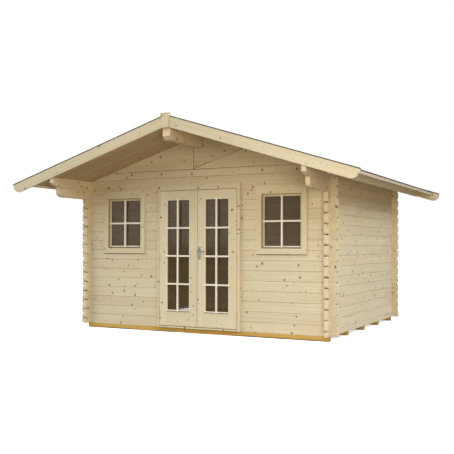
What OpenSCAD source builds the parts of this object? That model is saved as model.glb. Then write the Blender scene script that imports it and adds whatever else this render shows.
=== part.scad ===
// Log-built garden house with a front gable, a deep front overhang and a pair of glazed doors.
// Millimetres. X runs to the right, Y to the back, Z up.
// The origin lies on the ground under the middle of the roof.

/* [Log walls] */
// Height of one wall log
log_h = 130; // [125:1:135]
// Thickness of the wall logs
wall_t = 58; // [50:1:64]
// Width over the side walls
wall_w = 3660; // [3600:10:3900]
// Depth over the front and rear walls
wall_d = 2950; // [2600:10:3400]
// Length of the crossed log ends beyond each corner
stub = 90; // [70:5:120]
// Depth of the V joint between two logs
groove = 5; // [3:1:7]
// Depth of the notch at each joint in a log end
end_notch = 20; // [8:1:24]

/* [Bearers] */
// Height of the floor bearers
bearer_h = 62; // [50:1:80]
// Width of the floor bearers
bearer_w = 70; // [50:1:90]
// Number of bearers from front to back
bearer_count = 5; // [4:1:6]
// Distance from a bearer's end to the outer face of the side wall
bearer_inset = 25; // [0:5:40]

/* [Roof] */
// Height of the roof covering at the ridge
ridge_h = 2773; // [2750:1:2850]
// Slope of the roof in degrees
roof_pitch = 17.5; // [17:0.1:18.5]
// Distance from the ridge line to the ends of the bargeboards
eave_x = 2452; // [2400:1:2500]
// Distance from the ridge line to the outer face of the eave fascia
cover_x = 2333; // [2280:1:2370]
// Distance from the ridge line to the strip that closes the lower roof boards
strip_x = 2100; // [2040:1:2160]
// Front wall face to the front face of the bargeboards
front_over = 845; // [780:5:900]
// Rear wall face to the rear face of the bargeboards
rear_over = 510; // [400:5:600]
// Thickness of the roof felt, measured straight down
felt_t = 5; // [3:1:6]
// Thickness of the upper roof deck, measured straight down
deck_t = 20; // [16:1:24]
// Height of the space between the two board layers
cavity_t = 86; // [70:1:92]
// Thickness of the lower roof boards, measured straight down
board_t = 22; // [18:1:26]

/* [Roof edges] */
// Thickness of bargeboards, fascias and apex covers
edge_t = 20; // [16:1:22]
// Depth of the bargeboards, measured straight down
barge_h = 142; // [138:1:150]
// How far the roof covering lies below the top of the bargeboards
edge_sink = 10; // [6:1:14]
// How far the felt is turned down over the roof's edges
felt_lip = 12; // [8:1:20]
// Radius of the rounded lower corner of a bargeboard
barge_r = 95; // [60:1:100]
// Height of the eave fascia
fascia_h = 46; // [36:1:60]
// Width of the ridge purlin
purlin_w = 106; // [90:2:130]
// Height of the ridge purlin at its sides
purlin_h = 152; // [130:1:165]
// Size of the bevel under the purlin's front end
purlin_bevel = 46; // [20:1:60]

/* [Doors] */
// Half the clear width between the door jambs
door_half = 586; // [560:1:600]
// Height of the door leaves' top above the bearers
leaf_top = 1833; // [1780:1:1840]
// Thickness of a door leaf
leaf_t = 40; // [36:1:44]
// Width of the door jambs
jamb_w = 35; // [30:1:40]
// Height of the head of the door frame
head_h = 76; // [60:1:76]
// Width of the leaf stiles
stile_w = 118; // [100:1:130]
// Height of the bottom rail of a leaf
bottom_rail = 210; // [180:1:240]
// Height of the top rail of a leaf
top_rail = 126; // [110:1:140]
// Gap between the two leaves
leaf_gap = 8; // [8:1:12]
// Gap between a leaf and its frame
frame_gap = 6; // [6:1:8]
// Height of the lever's pivot above the bearers
lever_h = 1024; // [950:1:1060]

/* [Windows] */
// Distance from the middle of the front to the middle of a window
window_x = 1186; // [1160:1:1200]
// Width of the opening inside a window's casing
window_w = 546; // [500:1:560]
// Height of the opening inside a window's casing
window_h = 686; // [640:1:700]
// Height of the bottom of that opening above the bearers
window_sill = 1066; // [1040:1:1090]
// Width of the casing boards at the sides
casing_w = 68; // [60:1:68]
// Thickness of the casing boards
casing_t = 22; // [16:1:24]
// Visible width of the sash inside the casing
sash_w = 30; // [26:1:40]

/* [Hidden] */

$fn = 32;
spruce = [0.82, 0.75, 0.59];
shaded_spruce = [0.72, 0.63, 0.46];
treated_pine = [0.80, 0.62, 0.31];
felt_grey = [0.30, 0.31, 0.31];
dark_glass = [0.24, 0.20, 0.16];
satin_steel = [0.62, 0.64, 0.65];
yellow_zinc = [0.74, 0.62, 0.38];

// Walls
half_w = wall_w/2;
front_y = -(wall_d + rear_over - front_over)/2;
rear_y = front_y + wall_d;
wall_z = bearer_h;                    // underside of the first log
function course(k) = wall_z + k*log_h;  // height of a log joint
courses = 14;                         // whole logs up to the window heads
eave_top = course(15.5);              // top of the side walls at full height
neck = log_h/4;                       // half height of a notched log at a crossing

// Roof, as straight-down distances below the ridge line of the felt on the bargeboards
slope = tan(roof_pitch);
function roof_z(drop, x) = ridge_h - drop - slope*abs(x);
barge_drop = felt_t;
deck_drop = edge_sink + felt_t;
cavity_drop = deck_drop + deck_t;
board_drop = cavity_drop + cavity_t;
soffit_drop = board_drop + board_t;
function soffit_x(z) = (ridge_h - soffit_drop - z)/slope;
barge_front = front_y - front_over;
barge_rear = rear_y + rear_over;
strip_hang = 13;                      // how far the eave strips hang below the roof boards
lap_t = 3;                            // thickness of the felt where it is turned down
purlin_z = roof_z(soffit_drop, purlin_w/2) - purlin_h;
batten_w = 60;
batten_x = [300, 860, 1420, 1980];
layer_play = 0.1;                     // play between one roof layer and what it lies on

// Doors
frame_out = 40;                       // how far the door frame stands in front of the wall
leaf_front = front_y - frame_out;
leaf_back = leaf_front + leaf_t;
leaf_z0 = wall_z + 30;
leaf_z1 = wall_z + leaf_top;
leaf_x0 = leaf_gap/2;
leaf_x1 = door_half - frame_gap;
pane_x0 = leaf_x0 + stile_w;
pane_x1 = leaf_x1 - stile_w;
pane_z0 = leaf_z0 + bottom_rail;
pane_z1 = leaf_z1 - top_rail;
glass_in = 24;                        // from the front of a leaf to its pane
glass_t = 6;
rebate = 10;                          // how far the glass reaches into its frame
hinge_z = [leaf_z0 + 170, (leaf_z0 + leaf_z1)/2, leaf_z1 - 170];
pivot_x = door_half - frame_gap/2;
knuckle_r = 6;
pivot_y = leaf_front - knuckle_r - 2;
knuckle_l = 26;
flap_t = 2;                           // thickness of a hinge flap
flap_d = 32;                          // how far a flap reaches into the door joint
lever_x = 34;
lever_z = wall_z + lever_h;
plate_t = 4;

// Windows
sash_front = front_y + 23;
sill_z = wall_z + window_sill;
casing_top = 104;                     // height of the casing's head board
casing_bottom = 75;                   // height of the casing's bottom board

big = 6000;                           // longer than the house, for cutting tools

// Extrudes an outline in X and Z from y0 to y1
module along_y(y0, y1) {
    translate([0, y1, 0]) rotate([90, 0, 0]) linear_extrude(y1 - y0) children();
}

// Extrudes an outline in Y and Z from x0 to x1
module along_x(x0, x1) {
    translate([x0, 0, 0]) rotate([90, 0, 90]) linear_extrude(x1 - x0) children();
}

// A box from one corner to the opposite corner
module block(low, high) {
    translate(low) cube(high - low);
}

// The child and its mirror image at the other side of the house
module both_sides() {
    children();
    mirror([1, 0, 0]) children();
}

// Everything above the underside of the roof boards
module above_soffit() {
    along_y(-big, big)
        polygon([[0, roof_z(soffit_drop, 0)], [big, roof_z(soffit_drop, big)], [big, big],
                 [-big, big], [-big, roof_z(soffit_drop, big)]]);
}

// Section through a stack of logs: two faces with a V at each joint
function log_section(a, b, z0, z1, joints) = concat(
    [[a, z0]],
    [for (z = joints) each [[a, z - groove], [a + groove, z], [a, z + groove]]],
    [[a, z1], [b, z1]],
    [for (i = [len(joints) - 1:-1:0])
        each [[b, joints[i] + groove], [b - groove, joints[i]], [b, joints[i] - groove]]],
    [[b, z0]]);

// Notches that the side-wall logs fill where they cross a front or rear wall
module side_log_notches(y0, top_half) {
    both_sides() {
        block([half_w - wall_t, y0, wall_z - 1], [half_w, y0 + wall_t, wall_z + neck]);
        for (k = [1:courses])
            block([half_w - wall_t, y0, course(k) - neck], [half_w, y0 + wall_t, course(k) + neck]);
        block([half_w - wall_t, y0, course(top_half) - neck], [half_w, y0 + wall_t, big]);
    }
}

// V notches in the log ends of a front or rear wall
module front_end_notches(y0) {
    both_sides()
        for (k = [1:courses + 1])
            along_y(y0 - 1, y0 + wall_t + 1)
                translate([half_w + stub, course(k)]) circle(r = end_notch, $fn = 4);
}

// Logs that run across the house, from log joint k0 to k1
module cross_logs(x0, x1, y0, k0, k1) {
    difference() {
        along_x(x0, x1)
            polygon(log_section(y0, y0 + wall_t, course(k0), course(k1),
                                [for (k = [k0 + 1:ceil(k1) - 1]) course(k)]));
        side_log_notches(y0, 15);
        front_end_notches(y0);
        above_soffit();
    }
}

// Logs that run from front to back, half a log out of step with the front
module side_logs() {
    front_end = front_y - stub;
    rear_end = rear_y + stub;
    joints = [for (k = [0:courses - 2]) course(k + 0.5)];
    difference() {
        along_y(front_end, rear_end)
            polygon(log_section(half_w - wall_t, half_w, wall_z, course(13.5), joints));
        for (y = [front_y, rear_y - wall_t], k = [0:13])
            block([half_w - wall_t - 1, y, course(k) + neck],
                  [half_w + 1, y + wall_t, course(k + 1) - neck]);
        for (y = [front_end, rear_end], z = joints)
            along_x(half_w - wall_t - 1, half_w + 1)
                translate([y, z]) circle(r = end_notch, $fn = 4);
    }
}

// The two uppermost side logs, which run forward as stepped brackets
module eave_logs() {
    upper_tip = barge_front + edge_t;
    lower_tip = front_y - 697;
    rear_end = rear_y + stub;
    difference() {
        along_x(half_w - wall_t, half_w)
            polygon([[upper_tip, eave_top], [upper_tip, course(14.88)],
                     [upper_tip + 40, course(14.68)], [upper_tip + 95, course(14.56)],
                     [upper_tip + 150, course(14.5)], [lower_tip, course(14.5)],
                     [lower_tip, course(13.95)],
                     [lower_tip + 12, course(13.75)], [lower_tip + 40, course(13.6)],
                     [lower_tip + 95, course(13.5)],
                     [rear_end, course(13.5)], [rear_end, eave_top]]);
        for (y = [front_y, rear_y - wall_t])
            for (k = [13, 14])
                block([half_w - wall_t - 1, y, course(k) + neck],
                      [half_w + 1, y + wall_t, course(k + 1) - neck]);
        for (x = [half_w - wall_t, half_w])
            along_y(lower_tip, rear_end + 1) translate([x, course(14.5)]) circle(r = groove, $fn = 4);
        along_x(half_w - wall_t - 1, half_w + 1)
            translate([rear_end, course(14.5)]) circle(r = end_notch, $fn = 4);
        above_soffit();
    }
}

// A layer that follows the right-hand roof slope, with a hair of play under it
module roof_layer(x0, x1, drop0, drop1, y0, y1) {
    under = drop1 - layer_play;
    along_y(y0, y1)
        polygon([[x0, roof_z(drop0, x0)], [x1, roof_z(drop0, x1)],
                 [x1, roof_z(under, x1)], [x0, roof_z(under, x0)]]);
}

// One right-hand bargeboard with its lower outer corner rounded
module bargeboard(y0) {
    steps = 8;
    arc_x = eave_x - barge_r;
    arc_z = roof_z(barge_drop + barge_h, arc_x) + barge_r/cos(roof_pitch);
    along_y(y0, y0 + edge_t)
        polygon(concat(
            [[0, roof_z(barge_drop + barge_h, 0)], [0, roof_z(barge_drop, 0)],
             [eave_x, roof_z(barge_drop, eave_x)]],
            [for (i = [0:steps])
                let (a = -i/steps*(90 + roof_pitch)) [arc_x + barge_r*cos(a), arc_z + barge_r*sin(a)]]));
}

// Tapered board over the joint of two bargeboards, with a small cap
module apex_cover() {
    top_w = 128;
    bottom_w = 72;
    cover_top = ridge_h + 6;
    cover_bottom = ridge_h - 166;
    along_y(barge_front - edge_t + 2, barge_front)
        polygon([[-bottom_w/2, cover_bottom], [bottom_w/2, cover_bottom],
                 [top_w/2, cover_top], [-top_w/2, cover_top]]);
    block([-top_w/2 - 1, barge_front - edge_t - 1, cover_top],
          [top_w/2 + 1, barge_front + 18, cover_top + 10]);
}

module fascia() {
    foot = roof_z(deck_drop, cover_x) - fascia_h;
    along_y(barge_front + edge_t, barge_rear - edge_t)
        polygon([[cover_x - edge_t, foot], [cover_x, foot], [cover_x, roof_z(deck_drop, cover_x)],
                 [cover_x - edge_t, roof_z(deck_drop, cover_x - edge_t)]]);
}

// Felt on the right-hand slope, turned down over the fascia
module felt_sheet() {
    y0 = barge_front + edge_t + lap_t + layer_play;
    y1 = barge_rear - edge_t - lap_t - layer_play;
    roof_layer(0, cover_x + lap_t, edge_sink, deck_drop, y0, y1);
    roof_layer(cover_x, cover_x + lap_t, edge_sink, edge_sink + felt_lip, y0, y1);
}

// Felt wrapped over the top of the right-hand front bargeboard
module felt_edge() {
    inner = barge_front + edge_t;
    roof_layer(0, eave_x + lap_t, 0, barge_drop, barge_front, inner + lap_t);
    roof_layer(0, eave_x + lap_t, 0, deck_drop, inner, inner + lap_t);
    roof_layer(66, eave_x + lap_t, 0, felt_lip, barge_front - lap_t, barge_front);
    roof_layer(eave_x, eave_x + lap_t, 0, felt_lip, barge_front - lap_t, inner + lap_t);
}

module window_hole(grow) {
    block([window_x - window_w/2 - grow, front_y - 100, sill_z - grow],
          [window_x + window_w/2 + grow, front_y + 200, sill_z + window_h + grow]);
}

// Board casing round a window, on the face of the wall
module window_casing() {
    difference() {
        block([window_x - window_w/2 - casing_w, front_y - casing_t, sill_z - casing_bottom],
              [window_x + window_w/2 + casing_w, front_y, sill_z + window_h + casing_top]);
        window_hole(0);
    }
}

// Fixed sash in the thickness of the wall, rebated for its glass
module window_sash() {
    difference() {
        block([window_x - window_w/2 - 10, sash_front, sill_z - 10],
              [window_x + window_w/2 + 10, front_y + wall_t, sill_z + window_h + 10]);
        window_hole(-sash_w);
        block([window_x - window_w/2 + sash_w - rebate, sash_front + 14, sill_z + sash_w - rebate],
              [window_x + window_w/2 - sash_w + rebate, front_y + 200,
               sill_z + window_h - sash_w + rebate]);
    }
}

// Right-hand door leaf: stiles and rails round one tall rebated opening
module door_leaf() {
    difference() {
        block([leaf_x0, leaf_front, leaf_z0], [leaf_x1, leaf_back, leaf_z1]);
        block([pane_x0, leaf_front - 1, pane_z0], [pane_x1, leaf_back + 1, pane_z1]);
        block([pane_x0 - rebate, leaf_front + glass_in, pane_z0 - rebate],
              [pane_x1 + rebate, leaf_back + 1, pane_z1 + rebate]);
    }
}

module leaf_glass() {
    block([pane_x0 - rebate, leaf_front + glass_in, pane_z0 - rebate],
          [pane_x1 + rebate, leaf_front + glass_in + glass_t, pane_z1 + rebate]);
}

// One butt hinge: a pin line with knuckles, and a flap on the edge of the wood.
// side is +1 for the half on the frame and -1 for the half on the leaf.
module hinge_part(z, side, knuckles) {
    flap_l = 3*knuckle_l;
    flap_x = side > 0 ? door_half - flap_t : leaf_x1;
    for (k = knuckles) {
        z0 = z - flap_l/2 + k*knuckle_l + 0.5;
        translate([pivot_x, pivot_y, z0]) cylinder(r = knuckle_r, h = knuckle_l - 1);
        translate([flap_x, pivot_y, z0]) cube([flap_t, flap_d/2, knuckle_l - 1]);
    }
    translate([flap_x, leaf_front - 1, z - flap_l/2]) cube([flap_t, flap_d, flap_l]);
}

module bearers() {
    pitch = (wall_d - bearer_w)/(bearer_count - 1);
    color(treated_pine)
        for (i = [0:bearer_count - 1])
            block([-half_w + bearer_inset, front_y + i*pitch, 0],
                  [half_w - bearer_inset, front_y + i*pitch + bearer_w, bearer_h]);
}

module front_wall_right() {
    color(spruce) difference() {
        cross_logs(door_half + jamb_w, half_w + stub, front_y, 0, courses);
        window_hole(10);
    }
}

module front_wall_left() {
    color(spruce) mirror([1, 0, 0]) difference() {
        cross_logs(door_half + jamb_w, half_w + stub, front_y, 0, courses);
        window_hole(10);
    }
}

module front_wall_top() {
    color(spruce) difference() {
        cross_logs(-half_w - stub, half_w + stub, front_y, courses, 15);
        block([-door_half - jamb_w, front_y - 1, 0],
              [door_half + jamb_w, front_y + wall_t + 1, leaf_z1 + frame_gap + head_h]);
    }
    color(spruce) difference() {
        block([-half_w - stub, front_y, course(15)], [half_w + stub, front_y + wall_t, eave_top]);
        side_log_notches(front_y, 15);
        above_soffit();
    }
}

module rear_wall() {
    color(spruce) cross_logs(-half_w - stub, half_w + stub, rear_y - wall_t, 0, 15.5);
}

module right_wall() { color(spruce) side_logs(); }

module left_wall() { color(spruce) mirror([1, 0, 0]) side_logs(); }

module right_eave_logs() { color(spruce) eave_logs(); }

module left_eave_logs() { color(spruce) mirror([1, 0, 0]) eave_logs(); }

gable_low_z = course(16.27);
gable_seam_z = course(16.55);         // height of the slanting seam under the ridge
seam_x = (ridge_h - soffit_drop - gable_seam_z)/(2*slope);
seam_left = -83;                      // the upright seam, beside the purlin
seam_left_z = gable_seam_z + slope*seam_left;

module front_gable_low() {
    base = soffit_x(eave_top);
    top = soffit_x(gable_low_z);
    color(spruce) along_y(front_y, front_y + wall_t)
        polygon([[-base, eave_top], [base, eave_top], [top, gable_low_z], [-top, gable_low_z]]);
}

module front_gable_left() {
    color(spruce) along_y(front_y, front_y + wall_t)
        polygon([[-soffit_x(gable_low_z), gable_low_z], [seam_left, gable_low_z],
                 [seam_left, roof_z(soffit_drop, seam_left)]]);
}

module front_gable_right() {
    color(spruce) along_y(front_y, front_y + wall_t)
        polygon([[seam_left, gable_low_z], [soffit_x(gable_low_z), gable_low_z],
                 [seam_x, roof_z(soffit_drop, seam_x)], [seam_left, seam_left_z]]);
}

module front_gable_top() {
    color(spruce) along_y(front_y, front_y + wall_t)
        polygon([[seam_left, seam_left_z], [seam_x, roof_z(soffit_drop, seam_x)],
                 [purlin_w/2, roof_z(soffit_drop, purlin_w/2)], [purlin_w/2, purlin_z],
                 [-purlin_w/2, purlin_z], [-purlin_w/2, roof_z(soffit_drop, purlin_w/2)],
                 [seam_left, roof_z(soffit_drop, seam_left)]]);
}

module rear_gable() {
    base = soffit_x(eave_top);
    color(spruce) along_y(rear_y - wall_t, rear_y)
        polygon([[-base, eave_top], [base, eave_top],
                 [purlin_w/2, roof_z(soffit_drop, purlin_w/2)], [purlin_w/2, purlin_z],
                 [-purlin_w/2, purlin_z], [-purlin_w/2, roof_z(soffit_drop, purlin_w/2)]]);
}

module ridge_purlin() {
    color(spruce) difference() {
        along_y(barge_front + edge_t, barge_rear - edge_t)
            polygon([[-purlin_w/2, purlin_z], [purlin_w/2, purlin_z],
                     [purlin_w/2, roof_z(soffit_drop, purlin_w/2)], [0, roof_z(soffit_drop, 0)],
                     [-purlin_w/2, roof_z(soffit_drop, purlin_w/2)]]);
        for (y = [barge_front + edge_t, barge_rear - edge_t])
            along_x(-purlin_w, purlin_w)
                translate([y, purlin_z]) circle(r = purlin_bevel, $fn = 4);
    }
}

module roof_boards_right() {
    color(shaded_spruce)
        roof_layer(0, strip_x - edge_t, board_drop, soffit_drop, barge_front + edge_t, barge_rear - edge_t);
}

module roof_boards_left() { color(shaded_spruce) mirror([1, 0, 0]) roof_boards_right(); }

module roof_battens() {
    color(shaded_spruce) both_sides()
        for (x = batten_x)
            roof_layer(x, x + batten_w, cavity_drop, board_drop, barge_front + edge_t, barge_rear - edge_t);
}

module roof_deck() {
    color(spruce) both_sides()
        roof_layer(0, cover_x - edge_t, deck_drop, cavity_drop, barge_front + edge_t, barge_rear - edge_t);
}

module roof_felt() {
    color(felt_grey) both_sides() {
        felt_sheet();
        felt_edge();
        mirror([0, 1, 0]) felt_edge();
    }
}

module eave_strips() {
    color(shaded_spruce) both_sides()
        roof_layer(strip_x - edge_t, strip_x, cavity_drop, soffit_drop + strip_hang,
                   barge_front + edge_t, barge_rear - edge_t);
}

module right_fascia() { color(spruce) fascia(); }

module left_fascia() { color(spruce) mirror([1, 0, 0]) fascia(); }

module front_bargeboard_right() { color(spruce) bargeboard(barge_front); }

module front_bargeboard_left() { color(spruce) mirror([1, 0, 0]) bargeboard(barge_front); }

module rear_bargeboard_right() { color(spruce) bargeboard(barge_rear - edge_t); }

module rear_bargeboard_left() { color(spruce) mirror([1, 0, 0]) bargeboard(barge_rear - edge_t); }

module front_apex_cover() { color(spruce) apex_cover(); }

module rear_apex_cover() {
    color(spruce) translate([0, barge_front + barge_rear, 0]) mirror([0, 1, 0]) apex_cover();
}

// Jambs and head in one frame, with a stop behind the leaves
module door_frame() {
    head_z = leaf_z1 + frame_gap;
    stop_y = leaf_back + 6;
    stop_w = 18;
    color(spruce) {
        difference() {
            block([-door_half - jamb_w, leaf_front, wall_z],
                  [door_half + jamb_w, front_y + wall_t, head_z + head_h]);
            block([-door_half, leaf_front - 1, wall_z - 1], [door_half, stop_y, head_z]);
            block([-door_half + stop_w, stop_y - 1, wall_z - 1],
                  [door_half - stop_w, front_y + wall_t + 1, head_z - stop_w]);
        }
    }
}

module threshold() {
    color(spruce) along_x(-door_half, door_half)
        polygon([[leaf_front - 4, wall_z], [leaf_back + 6, wall_z], [leaf_back + 6, wall_z + 24],
                 [leaf_back, wall_z + 24], [leaf_front - 4, wall_z + 16]]);
}

module right_door_leaf() {
    color(spruce) difference() {
        door_leaf();
        translate([lever_x, leaf_front - 1, lever_z]) rotate([-90, 0, 0]) cylinder(r = 8, h = leaf_t + 2);
    }
}

module left_door_leaf() { color(spruce) mirror([1, 0, 0]) door_leaf(); }

module right_door_glass() { color(dark_glass) leaf_glass(); }

module left_door_glass() { color(dark_glass) mirror([1, 0, 0]) leaf_glass(); }

module frame_hinges() {
    color(yellow_zinc) both_sides() for (z = hinge_z) hinge_part(z, 1, [0, 2]);
}

module right_leaf_hinges() {
    color(yellow_zinc) for (z = hinge_z) hinge_part(z, -1, [1]);
}

module left_leaf_hinges() { color(yellow_zinc) mirror([1, 0, 0]) right_leaf_hinges(); }

// A long plate on each face of the right leaf, bored for the spindle
module handle_plates() {
    plate_w = 38;
    plate_z0 = wall_z + 918;
    plate_z1 = wall_z + 1087;
    color(satin_steel) for (y = [leaf_front - plate_t, leaf_back])
        difference() {
            block([lever_x - plate_w/2, y, plate_z0], [lever_x + plate_w/2, y + plate_t, plate_z1]);
            translate([lever_x, y - 1, lever_z]) rotate([-90, 0, 0]) cylinder(r = 6, h = plate_t + 2);
        }
}

// Spindle through the leaf with a round lever on each side
module door_lever() {
    reach = 46;
    neck_r = 9;
    neck_l = reach - plate_t - 1 + neck_r;
    grip_r = 7;
    grip_l = 100;
    color(satin_steel) {
        translate([lever_x, leaf_front - reach, lever_z]) rotate([-90, 0, 0])
            cylinder(r = 5, h = leaf_t + 2*reach);
        for (y = [leaf_front - reach, leaf_back + reach])
            translate([lever_x, y, lever_z]) rotate([0, 90, 0]) cylinder(r = grip_r, h = grip_l);
        for (y = [leaf_front - reach - neck_r, leaf_back + plate_t + 1])
            translate([lever_x, y, lever_z]) rotate([-90, 0, 0]) cylinder(r = neck_r, h = neck_l);
    }
}

module right_window_casing() { color(spruce) window_casing(); }

module left_window_casing() { color(spruce) mirror([1, 0, 0]) window_casing(); }

module right_window_sash() { color(spruce) window_sash(); }

module left_window_sash() { color(spruce) mirror([1, 0, 0]) window_sash(); }

module window_glass() {
    color(dark_glass) both_sides()
        block([window_x - window_w/2 + sash_w - rebate, sash_front + 14, sill_z + sash_w - rebate],
              [window_x + window_w/2 - sash_w + rebate, sash_front + 14 + glass_t,
               sill_z + window_h - sash_w + rebate]);
}

bearers();
front_wall_left();
front_wall_right();
front_wall_top();
rear_wall();
left_wall();
right_wall();
left_eave_logs();
right_eave_logs();
front_gable_low();
front_gable_left();
front_gable_right();
front_gable_top();
rear_gable();
ridge_purlin();
roof_boards_left();
roof_boards_right();
roof_battens();
roof_deck();
roof_felt();
eave_strips();
left_fascia();
right_fascia();
front_bargeboard_left();
front_bargeboard_right();
rear_bargeboard_left();
rear_bargeboard_right();
front_apex_cover();
rear_apex_cover();
door_frame();
threshold();
left_door_leaf();
right_door_leaf();
left_door_glass();
right_door_glass();
frame_hinges();
left_leaf_hinges();
right_leaf_hinges();
handle_plates();
door_lever();
left_window_casing();
right_window_casing();
left_window_sash();
right_window_sash();
window_glass();
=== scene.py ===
# %% [markdown]
# # A log garden house
#
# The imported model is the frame: forty-odd solids at their real size, some of them on hinges. This
# script dresses it. It rounds the arrises of the timber, adds the boards, bars, beads and screws
# that a joiner would add, gives every surface a finish, and lights the house like a catalogue
# picture. Nothing is moved or resized, so each new piece takes its place from the frame.

# %% The frame
import math
import random

import bpy
from mathutils import Matrix, Vector


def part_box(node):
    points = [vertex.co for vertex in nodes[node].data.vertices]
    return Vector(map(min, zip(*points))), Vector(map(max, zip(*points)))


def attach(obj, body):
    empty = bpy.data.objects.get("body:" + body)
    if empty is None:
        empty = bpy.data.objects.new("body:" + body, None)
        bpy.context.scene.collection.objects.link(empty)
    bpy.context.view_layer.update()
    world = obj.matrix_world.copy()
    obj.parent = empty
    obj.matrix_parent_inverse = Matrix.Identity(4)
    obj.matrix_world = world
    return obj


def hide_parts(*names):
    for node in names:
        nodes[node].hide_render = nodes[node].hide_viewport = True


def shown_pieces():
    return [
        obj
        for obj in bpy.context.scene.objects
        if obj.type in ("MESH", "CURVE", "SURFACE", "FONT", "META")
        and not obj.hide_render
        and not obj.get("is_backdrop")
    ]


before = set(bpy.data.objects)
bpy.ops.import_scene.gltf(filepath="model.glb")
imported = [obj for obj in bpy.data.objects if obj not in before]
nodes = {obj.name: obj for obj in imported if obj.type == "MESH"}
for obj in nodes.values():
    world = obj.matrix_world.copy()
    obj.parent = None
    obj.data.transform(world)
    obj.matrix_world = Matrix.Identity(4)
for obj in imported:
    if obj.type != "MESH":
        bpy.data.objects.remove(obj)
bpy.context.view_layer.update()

# %% [markdown]
# ## Measures that the frame doesn't spell out
#
# Boxes read from the frame give most places. A few driving values of the building are named here
# once: the height of a log, the slope of the roof and how far the glass reaches into its frame. Two
# places that are nearer to each other than `touching` count as one.

# %% Driving values
log_height = 0.130
roof_slope = math.tan(math.radians(17.5))
glass_rebate = 0.010
touching = 0.0002
wall_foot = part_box("front_wall_left")[0].z
front_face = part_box("front_wall_left")[0].y
roof_front, roof_rear = (corner.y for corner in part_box("roof_boards_right"))
X, Y, Z = 0, 1, 2
print(f"first log starts {wall_foot:.3f} m above the ground, front wall at Y {front_face:.4f}")

# %% [markdown]
# ## Tools for solid pieces
#
# Blender's operators work on what is selected, so each tool below first deselects everything and
# then picks its piece, its faces or its edges by where they lie. A finished piece keeps its place
# in its mesh, with the object itself at the origin.

# %% Taking a piece, and picking parts of it
def take(piece):
    """Makes a piece the only one selected."""
    bpy.ops.object.select_all(action="DESELECT")
    piece.select_set(True)
    bpy.context.view_layer.objects.active = piece
    return piece


def pick(piece, kind, test):
    """Opens a piece for editing with only the edges or faces that pass the test selected."""
    take(piece)
    bpy.ops.object.mode_set(mode="EDIT")
    bpy.ops.mesh.select_mode(type=kind)
    bpy.ops.mesh.select_all(action="DESELECT")
    bpy.ops.object.mode_set(mode="OBJECT")
    mesh = piece.data
    if kind == "FACE":
        for face in mesh.polygons:
            face.select = test(face)
    else:
        for edge in mesh.edges:
            edge.select = test(*(mesh.vertices[i].co for i in edge.vertices))
    bpy.ops.object.mode_set(mode="EDIT")


def edit_all(piece):
    """Opens a piece for editing with everything selected."""
    take(piece)
    bpy.ops.object.mode_set(mode="EDIT")
    bpy.ops.mesh.select_all(action="SELECT")


def close():
    """Ends editing."""
    bpy.ops.object.mode_set(mode="OBJECT")


# %% Modifiers and bevels
def modify(piece, kind, **settings):
    """Adds a modifier and applies it at once."""
    take(piece)
    modifier = piece.modifiers.new(kind, kind)
    for key, value in settings.items():
        setattr(modifier, key, value)
    bpy.ops.object.modifier_apply(modifier=modifier.name)


def round_arrises(piece, radius, segments=2, angle=25):
    modify(piece, "BEVEL", width=radius, segments=segments, limit_method="ANGLE",
           angle_limit=math.radians(angle), profile=0.5)


def repeat(piece, count, pitch):
    """Repeats a piece towards the rear, a pitch apart."""
    modify(piece, "ARRAY", count=count, use_relative_offset=False, use_constant_offset=True,
           constant_offset_displace=(0, pitch, 0))


def bevel_edges(piece, test, width, segments, profile=0.5):
    """Bevels the edges that pass the test."""
    pick(piece, "EDGE", test)
    bpy.ops.mesh.bevel(offset=width, segments=segments, affect="EDGES", profile=profile)
    close()


def lies_at(y):
    """The test for edges that lie on a face at a place on Y."""
    return lambda a, b: max(abs(a.y - y), abs(b.y - y)) < touching


# %% Starting, copying and joining pieces
def block(name, low, high):
    """A box from its lowest to its highest corner."""
    low, high = Vector(low), Vector(high)
    bpy.ops.object.select_all(action="DESELECT")
    bpy.ops.mesh.primitive_cube_add(size=1, location=(low + high) / 2)
    piece = bpy.context.object
    piece.name = name
    piece.scale = high - low
    bpy.ops.object.transform_apply(location=True, rotation=True, scale=True)
    return piece


def rod(name, start, end, radius, sides):
    """A round bar from one point to another."""
    start, end = Vector(start), Vector(end)
    bpy.ops.object.select_all(action="DESELECT")
    bpy.ops.mesh.primitive_cylinder_add(vertices=sides, radius=radius, depth=(end - start).length,
                                        location=(start + end) / 2)
    piece = bpy.context.object
    piece.name = name
    piece.rotation_euler = (end - start).to_track_quat("Z", "Y").to_euler()
    bpy.ops.object.transform_apply(location=True, rotation=True, scale=True)
    return piece


def copy_to(piece, name, shift=(0, 0, 0)):
    """A copy with a mesh of its own, moved by a shift."""
    copied = bpy.data.objects.new(name, piece.data.copy())
    bpy.context.scene.collection.objects.link(copied)
    copied.data.transform(Matrix.Translation(shift))
    return copied


def join(pieces, name):
    take(pieces[0])
    for piece in pieces:
        piece.select_set(True)
    bpy.ops.object.join()
    pieces[0].name = name
    return pieces[0]


def copy_of_node(node, name):
    """A copy of a solid from the frame, with its loose triangles merged into whole faces."""
    piece = copy_to(nodes[node], name)
    edit_all(piece)
    bpy.ops.mesh.customdata_custom_splitnormals_clear()
    bpy.ops.mesh.remove_doubles(threshold=0.00001)
    bpy.ops.mesh.dissolve_limited(angle_limit=math.radians(0.5))
    close()
    for face in piece.data.polygons:
        face.use_smooth = False
    return piece


# %% Cutting and turning pieces
def score(piece, axis, place, **cut):
    """Cuts a line round a piece at a place on an axis, so that its faces end there."""
    edit_all(piece)
    point, normal = [0, 0, 0], [0, 0, 0]
    point[axis], normal[axis] = place, 1
    bpy.ops.mesh.bisect(plane_co=point, plane_no=normal, **cut)
    close()


def cut_off(piece, axis, place, keep_low):
    """Saws a piece square at a place on an axis and keeps the low or the high side."""
    score(piece, axis, place, use_fill=True, clear_outer=keep_low, clear_inner=not keep_low)


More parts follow.
